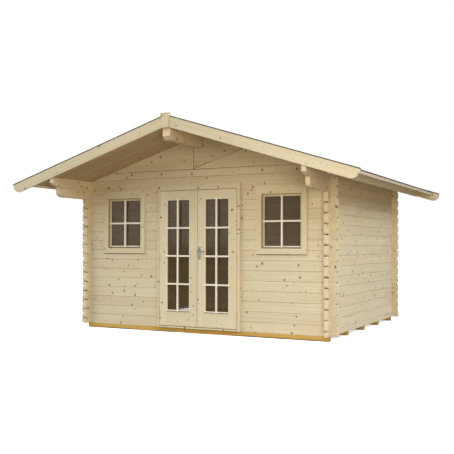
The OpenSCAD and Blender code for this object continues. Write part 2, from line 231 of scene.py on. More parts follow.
def turn_faces(piece):
    """Turns the faces of a mirrored piece outwards again."""
    edit_all(piece)
    bpy.ops.mesh.flip_normals()
    close()


# %% [markdown]
# ## Grain that follows each board
#
# Real timber has its figure inside it: growth rings round a pith, streaks along the fibres, knots
# that grow outward. The finish below is worked out from where a point lies in its own log or
# board. So every face corner carries three attributes: `grain`, the place along, across and
# through the board measured from its pith; `board`, a random tone and warmth for the board and how
# dark it is there, from a joint and from painted shade; and `end`, which is 1 on sawn ends.

# %% One log or board
class Member:
    """One log or board: the axis its fibres follow, the axis of its width, and its middle.

    A board that lies on the roof slope is first turned level, by the matrix in level."""

    def __init__(self, key, along, wide, middle, level=Matrix.Identity(3)):
        self.key, self.along, self.wide, self.level = key, along, wide, level
        self.middle = level @ Vector(middle)


def no_joint(co):
    return 0


# %% Laying the grain
def lay_grain(piece, member_at, joint_and_shade_at=no_joint):
    """Writes the attributes that the wood finishes read.

    member_at(centre) gives a face's board, and joint_and_shade_at(spot) how dark a joint and painted
    shade are at a point."""
    mesh = piece.data
    for name, kind in (("grain", "FLOAT_VECTOR"), ("board", "FLOAT_VECTOR"), ("end", "FLOAT")):
        mesh.attributes.new(name, kind, "CORNER")
    grain, board, end = (mesh.attributes[name].data for name in ("grain", "board", "end"))
    rolls = {}
    for face in mesh.polygons:
        member = member_at(face.center)
        if member.key not in rolls:
            dice = random.Random(f"{piece.name} board {member.key}")
            rolls[member.key] = (dice.uniform(0, 60), dice.uniform(-0.06, 0.06),
                                 dice.choice((-1, 1)) * dice.uniform(0.015, 0.10),
                                 dice.random(), dice.random())
        shift, pith_wide, pith_thin, tone, warmth = rolls[member.key]
        thin = 3 - member.along - member.wide
        is_end = float(abs((member.level @ face.normal)[member.along]) > 0.8)
        for corner in face.loop_indices:
            spot = mesh.vertices[mesh.loops[corner].vertex_index].co
            co = member.level @ spot
            grain[corner].vector = (co[member.along] + shift,
                                    co[member.wide] - member.middle[member.wide] + pith_wide,
                                    co[thin] - member.middle[thin] + pith_thin)
            board[corner].vector = (tone, warmth, float(joint_and_shade_at(spot)))
            end[corner].value = is_end
    return len(rolls)


def one_board(piece, along, wide, level=Matrix.Identity(3)):
    """The whole piece is one board."""
    middle = sum((Vector(c) for c in piece.bound_box), Vector()) / 8
    board = Member("board", along, wide, middle, level)
    return lambda centre: board


def levelled(side):
    """The turn that lays a board of the left (-1) or right (1) roof slope level."""
    return Matrix.Rotation(-side * math.atan(roof_slope), 3, "Y")


# %% [markdown]
# ## Finishes
#
# A finish is written as sums. `Signal` wraps one socket of a material and turns `+`, `*` or
# `1 - mask` into Math nodes; `Recipe.node` adds any other node. Colours are given as the eye sees
# them, from 0 to 255, and turned into the linear values that the renderer needs.

# %% Colours as the eye sees them
def paint(red, green, blue):
    """A colour as seen on a screen, as linear values."""
    def linear(value):
        share = value / 255
        return share / 12.92 if share <= 0.04045 else ((share + 0.055) / 1.055) ** 2.4
    return (linear(red), linear(green), linear(blue), 1)


# %% A socket that can stand in a sum
class Signal:
    """An output socket that can stand in a sum."""

    def __init__(self, recipe, socket):
        self.recipe, self.socket = recipe, socket

    def other(self, name):
        """Another output of the same node."""
        return Signal(self.recipe, self.socket.node.outputs[name])

    def split(self):
        parts = self.recipe.node("SeparateXYZ", {}, self)
        return parts, parts.other("Y"), parts.other("Z")

    def maths(self, operation, *values):
        return self.recipe.node("Math", {"operation": operation}, *values)

    def __add__(self, value):
        return self.maths("ADD", self, value)

    def __sub__(self, value):
        return self.maths("SUBTRACT", self, value)

    def __rsub__(self, value):
        return self.maths("SUBTRACT", value, self)

    def __mul__(self, value):
        return self.maths("MULTIPLY", self, value)

    def __truediv__(self, value):
        return self.maths("DIVIDE", self, value)

    def __pow__(self, value):
        return self.maths("POWER", self, value)

    __radd__, __rmul__ = __add__, __mul__

    def sine(self):
        return self.maths("SINE", self)

    def between(self, low, high):
        """Runs smoothly from 0 at low to 1 at high, and stays there."""
        return self.recipe.node("MapRange", {"interpolation_type": "SMOOTHSTEP"}, self, low, high)


# %% A material being written
class Recipe:
    """A material, or the sky, being written."""

    def __init__(self, name, shelf=bpy.data.materials):
        self.material = shelf.new(name)
        self.material.use_nodes = True
        self.tree = self.material.node_tree
        self.tree.nodes.clear()

    def node(self, kind, settings, *values, **named):
        made = self.tree.nodes.new("ShaderNode" + kind)
        for key, value in settings.items():
            setattr(made, key, value)
        sockets = [s for s in made.inputs if s.enabled]
        filled = list(zip(sockets, values))
        filled += [(next(s for s in sockets if s.name == key.replace("_", " ")), value)
                   for key, value in named.items()]
        for socket, value in filled:
            if isinstance(value, Signal):
                self.tree.links.new(value.socket, socket)
            else:
                socket.default_value = value
        return Signal(self, next((s for s in made.outputs if s.enabled), None))

    def vector(self, x, y, z):
        return self.node("CombineXYZ", {}, x, y, z)

    def noise(self, place, scale=1.0, detail=2.0):
        return self.node("TexNoise", {}, Vector=place, Scale=scale, Detail=detail)

    def blend(self, share, first, second, how="MIX"):
        return self.node("Mix", {"data_type": "RGBA", "blend_type": how}, share, first, second)

    def bump(self, height, strength, distance):
        return self.node("Bump", {}, Strength=strength, Distance=distance, Height=height)

    def finish(self, shader, output="OutputMaterial"):
        self.node(output, {}, shader)
        return self.material


# %% [markdown]
# ### Spruce
#
# Seen from across a garden, planed spruce is a pale cream with long faint streaks, small dark
# knots and slightly different boards. Close up it shows growth rings. The rings here are circles
# round the pith, pushed about by a slow noise, so a flat face cuts them into the flames and lines
# of real boards, and a sawn end shows them as arcs. Knots are rods that run through the board, so
# they are laid out along and across it only: big sparse ones, some of them dark, and small pale
# ones between.

# %% Knots
def knots(mix, along, across, cell, share, smallest, spread):
    """Knots as (core, halo, darkness, swirl), at most one in each cell of a loose grid."""
    cells = mix.node("TexVoronoi", {"voronoi_dimensions": "2D"},
                     Vector=mix.vector(along / cell, across / (cell * 1.25), 0.0), Scale=1.0)
    distance = cells * cell
    luck, size_luck, dark_luck = cells.other("Color").split()
    present = luck.between(share, share - 0.01)
    size = size_luck * spread + smallest
    core = (distance / size).between(1.1, 0.7) * present
    halo = (distance / size).between(2.4, 0.9) * present
    swirl = distance.between(0.045, 0.0) * present
    return core, halo, dark_luck, swirl


# %% The wood finish
def wood(name, pale, warm, ring, knot, knot_share, ring_width=0.0042, roughness=0.65):
    mix = Recipe(name)
    place = mix.node("Attribute", {"attribute_name": "grain"}).other("Vector")
    along, across, through = place.split()
    tone, warmth, joint = mix.node("Attribute", {"attribute_name": "board"}).other("Vector").split()
    end = mix.node("Attribute", {"attribute_name": "end"}).other("Fac")

    lengthwise = 1 - end
    core, halo, dark, swirl = knots(mix, along, across, 0.15, knot_share, 0.0070, 0.0060)
    pin_core, pin_halo, pin_dark, pin_swirl = knots(mix, along + 7.3, across, 0.080,
                                                    knot_share * 0.7, 0.002, 0.0035)

    # Growth rings round the pith, with a wandering centre
    wander = mix.noise(mix.vector(along * 0.9, across * 3, through * 3)) - 0.5
    radius = ((across * across + through * through) ** 0.5 + wander * 0.05
              + (swirl + pin_swirl * 0.4) * 0.009)
    late = (((radius * (2 * math.pi / ring_width)).sine() * 0.5) + 0.5) ** 3

    # Streaks along the fibres, and a slow drift of tone
    streak = mix.noise(mix.vector(along * 0.55, across * 38, through * 38), detail=3.0) - 0.5
    drift = mix.noise(mix.vector(along * 1.3, across * 5, through * 5), detail=1.0) - 0.5
    fibre = mix.noise(mix.vector(along * 6, across * 420, through * 420))

    warm_share = (streak * 1.2 + drift * 0.8 + warmth * 0.25 + 0.35).between(0.0, 1.0)
    colour = mix.blend(warm_share, pale, warm)
    colour = mix.blend(late * 0.22, colour, ring)
    shade = tone * 0.06 + fibre * 0.06 + 0.905
    colour = mix.blend(1.0, colour, mix.vector(shade, shade, shade * 0.995), "MULTIPLY")
    colour = mix.blend((halo * 0.45 + pin_halo * 0.3) * lengthwise, colour, ring)
    colour = mix.blend(pin_core * lengthwise * (pin_dark * 0.5 + 0.25), colour, knot)
    colour = mix.blend(core * lengthwise * (dark * 0.45 + 0.5), colour, knot)
    colour = mix.blend(end * 0.3, colour, paint(240, 204, 154))
    # Dark joints pull the colour towards the knot colour, and so does the painted shade in the notches
    # of log ends and along the foot of the bearers.
    closeness = mix.noise(mix.vector(along * 2.2, 0.0, tone * 9)).between(0.35, 0.65)
    colour = mix.blend(joint * joint * (closeness * 0.5 + 0.08), colour, knot)

    height = late * 0.35 + fibre * 0.5 + streak * 0.3 - core * 0.4
    shader = mix.node("BsdfPrincipled", {}, Base_Color=colour,
                      Roughness=(fibre * 0.16 + roughness - core * 0.15),
                      Normal=mix.bump(height, 0.35, 0.0012), Specular_IOR_Level=0.2)
    return mix.finish(shader)


# %% Spruce and pine in their tones
log_spruce = wood("log_spruce", paint(234, 219, 182), paint(224, 204, 160),
                  paint(198, 170, 124), paint(62, 42, 20), knot_share=0.6)
board_spruce = wood("board_spruce", paint(228, 214, 176), paint(217, 197, 153),
                    paint(194, 166, 120), paint(66, 44, 24), knot_share=0.4)
joinery_spruce = wood("joinery_spruce", paint(236, 221, 182), paint(228, 208, 164),
                      paint(206, 177, 130), paint(68, 46, 24), knot_share=0.6, roughness=0.58)
# A darker, browner copy of the board spruce: painted shade for the underside of the roof.
soffit_spruce = wood("soffit_spruce", paint(206, 184, 146), paint(189, 163, 122),
                     paint(162, 130, 88), paint(72, 46, 26), knot_share=0.3)
fascia_spruce = wood("fascia_spruce", paint(212, 198, 166), paint(198, 182, 146),
                     paint(176, 154, 116), paint(66, 44, 24), knot_share=0.4)
# Near white: partly the bars' own pale wood and partly painted highlight. It also finishes the
# mouldings, drip bars and eave strips.
bar_spruce = wood("bar_spruce", paint(255, 247, 222), paint(250, 239, 208),
                  paint(236, 215, 174), paint(150, 116, 78), knot_share=0.15, roughness=0.55)
treated_pine = wood("treated_pine", paint(217, 177, 94), paint(207, 157, 65),
                    paint(170, 121, 46), paint(89, 56, 20), knot_share=0.4, ring_width=0.006)
print("wood finishes ready")

# %% [markdown]
# ### Felt, steel and glass
#
# Roofing felt is bitumen with grit pressed into it: dark, matt and speckled. The fittings are
# satin steel, with fine lines from the brush that only change the roughness. The panes are flat
# glass, which lets most light through and mirrors more of it at a glancing angle, so a Fresnel
# node mixes a clear shader with a glossy one. The glossy one is brown: painted shade for the dim
# room behind, drifting from pane to pane as a painted reflection of a garden. A little dust keeps
# the glass believable.

# %% Felt and metal
def felt():
    mix = Recipe("roofing_felt")
    place = mix.node("TexCoord", {}).other("Object")
    grit = mix.node("TexVoronoi", {}, Vector=place, Scale=520.0)
    luck = grit.other("Color").split()[0]
    stain = mix.noise(place, 1.6, 3.0)
    colour = mix.blend(luck.between(0.35, 1.0), paint(50, 47, 40), paint(94, 89, 78))
    colour = mix.blend(stain.between(0.35, 0.8) * 0.35, colour, paint(70, 66, 54))
    shader = mix.node("BsdfPrincipled", {}, Base_Color=colour, Roughness=luck * 0.15 + 0.8,
                      Normal=mix.bump(grit, 0.6, 0.0015))
    return mix.finish(shader)


def metal(name, dark, light, rough):
    mix = Recipe(name)
    place = mix.node("TexCoord", {}).other("Object")
    x, y, z = place.split()
    lines = mix.noise(mix.vector(x * 900, y * 900, z * 30))
    cloud = mix.noise(place, 35.0)
    colour = mix.blend(cloud, dark, light)
    shader = mix.node("BsdfPrincipled", {}, Base_Color=colour, Metallic=1.0,
                      Roughness=lines * 0.22 + rough, Normal=mix.bump(lines, 0.08, 0.0005))
    return mix.finish(shader)


# %% Glass and rubber
def glass():
    mix = Recipe("pane_glass")
    place = mix.node("TexCoord", {}).other("Object")
    ripple = mix.noise(place, 3.0, 1.0)
    dust = mix.noise(place, 60.0, 4.0).between(0.45, 0.8)
    x, y, height = place.split()
    # The brown is painted shade for the dim room, and its drift across the panes is a painted
    # reflection.
    painted_reflection_bands = mix.noise(mix.vector(x * 9, 0.0, height * 0.6), detail=1.0)
    painted_room_and_reflection = mix.blend((height * 0.5 + painted_reflection_bands).between(0.8, 1.4), paint(98, 86, 54), paint(104, 84, 66))
    painted_room_and_reflection = mix.blend(x.between(0.2, 1.2), painted_room_and_reflection, paint(128, 110, 92))
    clear = mix.node("BsdfTransparent", {}, (0.90, 0.88, 0.87, 1))
    gloss_and_painted_room = mix.node("BsdfPrincipled", {}, Base_Color=painted_room_and_reflection, Roughness=dust * 0.05 + 0.03,
                     Normal=mix.bump(ripple, 0.05, 0.01))
    fresnel = mix.node("Fresnel", {}, 1.5)
    return mix.finish(mix.node("MixShader", {}, fresnel * 0.5 + dust * 0.02 + 0.3, clear, gloss_and_painted_room))


# The brown rubber also makes the dark strips that stand in as painted shade round panes and sashes and
# as painted shadow under drip bars and casings.
def rubber():
    mix = Recipe("brown_seal")
    place = mix.node("TexCoord", {}).other("Object")
    mottle = mix.noise(place, 240.0)
    shader = mix.node("BsdfPrincipled", {}, Roughness=mottle * 0.2 + 0.6,
                      Base_Color=mix.blend(mottle, paint(66, 46, 26), paint(84, 60, 38)),
                      Normal=mix.bump(mottle, 0.2, 0.0005))
    return mix.finish(shader)


roofing_felt, pane_glass, brown_seal = felt(), glass(), rubber()
metals = {"satin_steel": metal("satin_steel", paint(158, 160, 152), paint(178, 178, 168), 0.36),
          "yellow_zinc": metal("yellow_zinc", paint(214, 192, 150), paint(226, 206, 166), 0.42)}
print("felt, steel and glass ready")


# %% Handing a piece to its body
def hand_over(piece, material, slot, body, *stands_for):
    """Gives a finished piece its material and body, and hides the solids it stands for. The slot is not
    used.
    """
    piece.data.materials.clear()
    piece.data.materials.append(material)
    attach(piece, body)
    if stands_for:
        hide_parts(*stands_for)


# %% [markdown]
# ## The log walls
#
# The walls are stacks of logs, and the front and side logs cross at the corners half a log out of
# step. The frame has their true shape: a V joint between logs and notched, crossing ends. What it
# lacks is what a plane leaves behind, a slightly rounded arris on every edge, so each wall is
# copied, rounded with a Bevel modifier and given its grain, one log at a time.
#
# Joints are dark deep down, but only between two logs. So lines are scored a little past each
# corner and short of each tip, and the darkness of a joint starts and ends at those lines. Towards
# each tip the joint darkens again, darker still: painted shade in the notch of the chamfered end.

# %% Which log a face belongs to
def log_at(along, thickness, first_joint):
    """Finds the log that a face belongs to: one for each log height above the first joint."""
    def find(centre):
        course = math.floor((centre.z - first_joint) / log_height)
        middle = centre.copy()
        middle[thickness] = 0
        middle.z = first_joint + (course + 0.5) * log_height
        if thickness == Y:
            middle.y = front_face if centre.y < 0 else rear_face
        else:
            middle.x = math.copysign(side_face, centre.x)
        return Member(course, along, Z, middle)
    return find


rear_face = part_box("rear_wall")[1].y
side_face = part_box("right_eave_logs")[1].x
front_joint = wall_foot
side_joint = wall_foot - log_height / 2


# %% How dark a joint is
corners = {X: (-side_face, side_face), Y: (front_face, rear_face)}
corner_lines = (0.003, 0.009)
tip_line = 0.032
joint_half = 0.0017


def joint_and_notch_shade(first_joint, along, tips, lowest):
    """How dark a joint is at a point: 1 on the wall, 0 past a corner, and 2 at the chamfered tip, where
    the notch gets painted shade.
    """
    start, end = corners[along]
    margin = sum(corner_lines) / 2

    def depth(co):
        steps = (co.z - first_joint) / log_height
        if abs(steps - round(steps)) * log_height > joint_half or co.z < lowest:
            return 0
        if start - margin < co[along] < end + margin:
            return 1
        return 2 if min(abs(co[along] - tip) for tip in tips) < tip_line * 0.75 else 0
    return depth


# %% Walls, log by log
def log_wall(node, along, first_joint, tips, lowest=0):
    thickness = Y if along == X else X
    wall = copy_of_node(node, node + "_logs")
    for place in corners[along]:
        for margin in corner_lines:
            score(wall, along, place + math.copysign(margin, place))
    for tip in tips:
        score(wall, along, tip - math.copysign(tip_line, tip))
    round_arrises(wall, 0.002)
    logs = lay_grain(wall, log_at(along, thickness, first_joint),
                     joint_and_notch_shade(first_joint, along, tips, lowest))
    hand_over(wall, log_spruce, "log_spruce", "house", node)
    print(f"{node}: {logs} logs, {len(wall.data.polygons)} faces")


front_tips = [corner.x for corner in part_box("front_wall_top")]
side_tips = [corner.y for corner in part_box("right_wall")]
for node in ("front_wall_left", "front_wall_right", "front_wall_top", "rear_wall"):
    log_wall(node, X, front_joint, front_tips)
for node in ("left_wall", "right_wall"):
    log_wall(node, Y, side_joint, side_tips)
for node in ("left_eave_logs", "right_eave_logs"):
    log_wall(node, Y, side_joint, side_tips[1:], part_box(node)[0].z + 0.01)


# %% [markdown]
# ## Single timbers
#
# Gable boards, purlin, fascias, apex covers, threshold and bearers are each one timber, or a few
# like ones. They keep the shape that they have in the frame and only need rounded arrises, grain,
# a dark line where they meet each other and painted shade where they stand on the ground.

# %% Timbers that are one board each
def timber(node, along, wide, material, slot, radius=0.002, joint_and_shade_at=no_joint):
    piece = copy_of_node(node, node + "_timber")
    round_arrises(piece, radius)
    lay_grain(piece, one_board(piece, along, wide), joint_and_shade_at)
    hand_over(piece, material, slot, "house", node)


gable_front, gable_rear = (corner.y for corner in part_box("front_gable_low"))
seam_darkness = 1.7


def in_seam(co):
    """Dark between the two faces of the gable, where its pieces meet."""
    return seam_darkness * (gable_front + 0.001 < co.y < gable_rear - 0.001)


for node in ("front_gable_low", "front_gable_left", "front_gable_right", "front_gable_top",
             "rear_gable"):
    timber(node, X, Z, log_spruce, "log_spruce", 0.005, in_seam)
timber("ridge_purlin", Y, Z, log_spruce, "log_spruce", 0.004)
for node in ("left_fascia", "right_fascia"):
    timber(node, Y, Z, fascia_spruce, "board_spruce")
for node in ("front_apex_cover", "rear_apex_cover"):
    timber(node, Z, X, board_spruce, "board_spruce")
timber("threshold", X, Y, joinery_spruce, "joinery_spruce", 0.003)
print("single timbers ready")

# %% Bearers, with painted shade towards the ground
# The foot of each bearer darkens over its lowest 22 mm: painted shade where it stands on the ground.
foot_shade_height = 0.022
foot_shade_darkness = 1.6
bearers = copy_of_node("bearers", "bearers_sawn")
score(bearers, Z, foot_shade_height)
round_arrises(bearers, 0.0025)
lay_grain(bearers, lambda centre: Member(round(centre.y * 2), X, Z, (0, centre.y, 0.03)),
          lambda co: foot_shade_darkness * (co.z < 0.004))
hand_over(bearers, treated_pine, "treated_pine", "house", "bearers")
print("bearers ready")

# %% [markdown]
# ## Bargeboards
#
# A bargeboard covers the ends of the roof boards along the slope of a gable. As seen from outside,
# the right-hand one of each gable is made of two lengths, butted together with a plumb cut about a
# metre from the ridge.

# %% Bargeboards with their butt joints
barge_joint = 0.93
saw_cut = 0.0012


def bargeboard(node, side, joint=None):
    whole = copy_of_node(node, node + "_boards")
    lengths = [whole]
    if joint:
        lengths.append(copy_to(whole, "second_length"))
        cut_off(lengths[0], X, joint - saw_cut / 2, keep_low=True)
        cut_off(lengths[1], X, joint + saw_cut / 2, keep_low=False)
    for length in lengths:
        round_arrises(length, 0.002)
        lay_grain(length, one_board(length, X, Z, levelled(side)))
    board = join(lengths, node + "_boards")
    hand_over(board, board_spruce, "board_spruce", "house", node)


bargeboard("front_bargeboard_right", 1, barge_joint)
bargeboard("rear_bargeboard_left", -1, -barge_joint)
bargeboard("front_bargeboard_left", -1)
bargeboard("rear_bargeboard_right", 1)
print("four bargeboards ready")

# %% [markdown]
# ## The soffit
#
# The underside of the roof is a close row of boards that run from eave to ridge, each with a small
# V on its lower edges. One board is planed longer than needed, tilted to the slope, sawn plumb at
# ridge and eave, and repeated along the house by an Array modifier. Their finish is a darker copy
# of the board spruce, painted shade for the underside of the roof.

# %% Roof boards
board_width = 0.097
board_play = 0.0004
ridge_spare, eave_spare = 0.05, 0.25


def soffit(side):
    name = "left" if side < 0 else "right"
    low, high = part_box(f"roof_boards_{name}")
    reach = high.x - low.x
    length = roof_rear - roof_front
    count = round(length / board_width)
    pitch = length / count
    top = high.z
    thickness = top - reach * roof_slope - low.z
    square = thickness * math.cos(math.atan(roof_slope))
    board = block(f"soffit_{name}", (-ridge_spare, roof_front, top - square),
                  (reach + eave_spare, roof_front + pitch - board_play, top))
    bevel_edges(board, lambda a, b: max(a.z, b.z) < top - square / 2 and abs(a.x - b.x) > 0.1,
                0.005, 2)
    board.data.transform(Matrix.Translation((0, 0, -top)))
    board.data.transform(Matrix.Rotation(math.atan(roof_slope), 4, "Y"))
    board.data.transform(Matrix.Translation((0, 0, top)))
    cut_off(board, X, 0.0, keep_low=False)
    cut_off(board, X, reach, keep_low=True)
    repeat(board, count, pitch)
    if side < 0:
        board.data.transform(Matrix.Scale(-1, 4, (1, 0, 0)))
        turn_faces(board)

    def board_at(centre):
        number = math.floor((centre.y - roof_front) / pitch)
        return Member(number, X, Y, (0, roof_front + (number + 0.5) * pitch, top), levelled(side))

    lay_grain(board, board_at)
    hand_over(board, soffit_spruce, "board_spruce", "house", f"roof_boards_{name}")
    print(f"{name} soffit: {count} boards of {pitch * 1000:.1f} mm")


soffit(-1)
soffit(1)

# %% [markdown]
# ## Roof covering and eaves
#
# The strip that closes the lower boards at each eave comes in lengths, with a fine dark joint
# between them. Its near-white finish is partly painted highlight.
#
# The frame's felt lies between the bargeboards, wraps over their tops and turns down over the
# fascias. On it come the courses that can be told apart from above: rolled out along the roof from
# the eave up, each lapping over the one below, with a last strip over the ridge. Clout nails hold
# the laps. The battens and the upper deck hardly show, so they only get soft arrises and grain.

# %% The eave strips in their lengths
strip_length = 1.105
first_strip_joint = front_face - 0.5675
strip_joints = [first_strip_joint + i * strip_length for i in range(4)]
strip_darkness = 1.4


def strip_at(centre):
    number = math.floor((centre.y - first_strip_joint) / strip_length)
    side = "L" if centre.x < 0 else "R"
    return Member(f"{side}{number}", Y, Z, centre)


def strip_joint(co):
    return strip_darkness * (min(abs(co.y - place) for place in strip_joints) < 0.001)


strips = copy_of_node("eave_strips", "eave_strip_lengths")
for place in strip_joints:
    for margin in (-0.006, 0, 0.006):
        score(strips, Y, place + margin)
round_arrises(strips, 0.002)
lay_grain(strips, strip_at, strip_joint)
hand_over(strips, bar_spruce, "board_spruce", "house", "eave_strips")
print(f"eave strips with {len(strip_joints)} joints a side")


# %% Felt courses
sheet_front, sheet_rear = roof_front + 0.004, roof_rear - 0.004
sheet_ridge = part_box("roof_felt")[1].z - 0.010
sheet_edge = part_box("right_fascia")[1].x + 0.002
felt_thickness = 0.003
felt_bedding = 0.002
course_width, lap = 0.84, 0.07
course_lifts = (0.0, 0.0020, 0.0012)
ridge_strip, ridge_lift = 0.14, 0.0034
lap_nails, ridge_nails = 0.03, 0.02


def felt_course(side, start, end, lift):
    """One course of felt from start to end, measured out from the ridge along the level."""
    points = []
    for x in (start, end):
        z = sheet_ridge + lift - felt_bedding - roof_slope * x
        points += [(side * x, z), (side * x, z + felt_thickness)]
    course = block("felt_course", (0, sheet_front, 0), (1, sheet_rear, 1))
    for vertex in course.data.vertices:
        x, z = points[2 * (vertex.co.x > 0.5) + (vertex.co.z > 0.5)]
        vertex.co.x, vertex.co.z = x, z
    if side < 0:
        turn_faces(course)
    round_arrises(course, 0.0008, 1)
    return course


# %% Rolling the courses out
felt_body = copy_of_node("roof_felt", "felt_body")
score(felt_body, X, 0)
courses = [felt_body]
lap_lines = []
for side in (-1, 1):
    outer = sheet_edge
    for lift in course_lifts:
        inner = max(outer - course_width, 0.0)
        courses.append(felt_course(side, inner, outer, lift))
        lap_lines.append((side, outer - lap_nails))
        outer = inner + lap
    courses.append(felt_course(side, 0.0, ridge_strip, ridge_lift))
    lap_lines.append((side, ridge_strip - ridge_nails))
covering = join(courses, "felt_courses")
hand_over(covering, roofing_felt, "roofing_felt", "house", "roof_felt")
print(f"{len(courses) - 1} felt courses")

# %% The timbers between the two roof layers
def batten_at(centre):
    return Member(round(centre.x * 20), Y, X, centre)


def deck_at(centre):
    return Member(round(centre.x), X, Y, (0, 0, centre.z))


for node, find in (("roof_battens", batten_at), ("roof_deck", deck_at)):
    hidden = copy_of_node(node, node + "_timber")
    round_arrises(hidden, 0.0015)
    lay_grain(hidden, find)
    hand_over(hidden, board_spruce, "board_spruce", "house", node)
print("battens and deck ready")

# %% [markdown]
# ## Doors
#
# Each leaf is joinery: two stiles that run the full height, a deep bottom rail and a top rail
# between them, and one tall pane in a rebate. The frame has that shape as one solid, so its faces
# are scored where the members meet, the edge round the pane gets a moulding, and the fibres are
# laid upright in the stiles and level in the rails.

# %% The opening in a leaf, sash or casing
class Opening:
    """The hole that a pane or a sash fills, seen from the front."""

    def __init__(self, left, right, foot, head):
        self.left, self.right, self.foot, self.head = left, right, foot, head

    @classmethod
    def filled_by(cls, node, inset):
        low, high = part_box(node)
        return cls(low.x + inset, high.x - inset, low.z + inset, high.z - inset)

    def grown(self, width):
        return Opening(self.left - width, self.right + width, self.foot - width, self.head + width)

    def edge(self, a, b):
        """True if the edge from a to b lies on the rim of the opening."""
        def near(value, place):
            return abs(value - place) < touching
        upright = any(near(a.x, p) and near(b.x, p) for p in (self.left, self.right))
        level = any(near(a.z, p) and near(b.z, p) for p in (self.foot, self.head))
        middle = (a + b) / 2
        inside_x = self.left - touching < middle.x < self.right + touching
        inside_z = self.foot - touching < middle.z < self.head + touching
        return (upright and inside_z) or (level and inside_x)


# %% Stiles and rails
def stile_or_rail(opening, low, high, rails_run_through):
    """Finds the stile or rail that a face belongs to."""
    def find(centre):
        beside = not opening.left < centre.x < opening.right
        past = not opening.foot < centre.z < opening.head
        middle = (low + high) / 2
        if beside and not (rails_run_through and past):
            edge, rim = (low.x, opening.left) if centre.x < middle.x else (opening.right, high.x)
            middle.x = (edge + rim) / 2
            return Member(f"stile{edge:.2f}", Z, X, middle)
        edge, rim = (low.z, opening.foot) if centre.z < middle.z else (opening.head, high.z)
        middle.z = (edge + rim) / 2
        return Member(f"rail{edge:.2f}", X, Z, middle)
    return find


def joinery(node, body, opening, moulding, rails_run_through=False):
    """A door leaf, sash or casing with its members, moulding and rounded arrises."""
    low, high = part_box(node)
    piece = copy_of_node(node, node + "_joinery")
    if rails_run_through:
        score(piece, Z, opening.foot)
        score(piece, Z, opening.head)
    else:
        score(piece, X, opening.left)
        score(piece, X, opening.right)
    in_front = lies_at(low.y)
    bevel_edges(piece, lambda a, b: in_front(a, b) and opening.edge(a, b), moulding, 3, profile=0.35)
    round_arrises(piece, 0.0012)
    members = lay_grain(piece, stile_or_rail(opening, low, high, rails_run_through))
    hand_over(piece, joinery_spruce, "joinery_spruce", body, node)
    print(f"{node}: {members} members, {len(piece.data.polygons)} faces")


leaf_openings = {}
for side in ("left", "right"):
    leaf_openings[side] = Opening.filled_by(f"{side}_door_glass", glass_rebate)
    joinery(f"{side}_door_leaf", f"{side}_door", leaf_openings[side], 0.006)


# %% The door frame
leaf_low, leaf_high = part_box("right_door_leaf")
leaf_gap = 0.006
head_foot = leaf_high.z + leaf_gap
clear_half = leaf_high.x + leaf_gap
head_height = 0.076


def jamb_or_head(centre):
    if centre.z > head_foot:
        return Member("head", X, Z, (0, leaf_low.y, head_foot + head_height / 2))
    side = math.copysign(1, centre.x)
    return Member(f"jamb{side}", Z, Y, (side * clear_half, leaf_high.y, 1))


door_frame = copy_of_node("door_frame", "door_frame_joinery")
score(door_frame, Z, head_foot)
round_arrises(door_frame, 0.0018)
lay_grain(door_frame, jamb_or_head)
hand_over(door_frame, joinery_spruce, "joinery_spruce", "house", "door_frame")
print("door frame ready")

# %% [markdown]
# ## Grilles, beads, and seals with painted shade
#
# The bars are slim strips with softened front edges and sloped ends. On a leaf, one upright bar
# and three level ones lie on the face and reach a little over the stiles and rails; a window has a
# cross. Behind each pane, four beads hold the glass in its rebate, and in front of it a dark brown
# seal runs round the edge, which is also painted shade along the edge of the pane. A raised
# moulding frames each pane of the doors, and a drip bar runs along the foot of every pane. Dark
# brown strips under the drip bars and under the window casings are painted shadow, and those round
# each sash are a seal and painted shade in the gap.

# %% Bars
bar_width = 0.023
bar_overlap = 0.024
level_setback = 0.0006
drip_height = 0.013


def bar(low, high, along):
    """A strip with chamfered front edges and sloped ends."""
    strip = block("bar", low, high)
    in_front = lies_at(low[Y])
    bevel_edges(strip, lambda a, b: in_front(a, b) and abs(a[along] - b[along]) < 0.0001, 0.009, 1)
    bevel_edges(strip, lambda a, b: in_front(a, b) and abs(a[along] - b[along]) > 0.02, 0.003, 2)
    lay_grain(strip, one_board(strip, along, X if along == Z else Z))
    return strip


def grille(name, opening, front, back, level_bars, body, bottom_row=1.0):
    """One upright bar and some level bars. The row of panes at the bottom may be lower."""
    middle = (opening.left + opening.right) / 2
    row = (opening.head - opening.foot) / (level_bars + bottom_row)
    strips = [bar((middle - bar_width / 2, front, opening.foot - bar_overlap),
                  (middle + bar_width / 2, back, opening.head + bar_overlap), Z)]
    for i in range(level_bars):
        z = opening.foot + row * (i + bottom_row)
        strips.append(bar((opening.left - bar_overlap, front + level_setback, z - bar_width / 2),
                          (opening.right + bar_overlap, back, z + bar_width / 2), X))
    hand_over(join(strips, name), bar_spruce, "joinery_spruce", body)


def drip_bar(name, opening, front, back, overlap, body):
    """A slim bar along the foot of a pane that throws rain clear of the rail."""
    strip = bar((opening.left - overlap, front, opening.foot - drip_height),
                (opening.right + overlap, back, opening.foot + 0.001), X)
    strip.name = name
    hand_over(strip, bar_spruce, "joinery_spruce", body)


# %% Strips round a pane
def ring_of(opening, width, front, back):
    """Four strips inside an opening, each as (low, high, axis)."""
    left, right, foot, head = opening.left, opening.right, opening.foot, opening.head
    return [((left, front, foot), (right, back, foot + width), X),
            ((left, front, head - width), (right, back, head), X),
            ((left, front, foot + width), (left + width, back, head - width), Z),
            ((right - width, front, foot + width), (right, back, head - width), Z)]


def seal(name, strips, body):
    """Strips of brown rubber: seals that also stand in as painted shade and painted shadow."""
    made = []
    for low, high, along in strips:
        strip = block("seal", low, high)
        round_arrises(strip, 0.0008, 1)
        made.append(strip)
    hand_over(join(made, name), brown_seal, "roofing_felt", body)


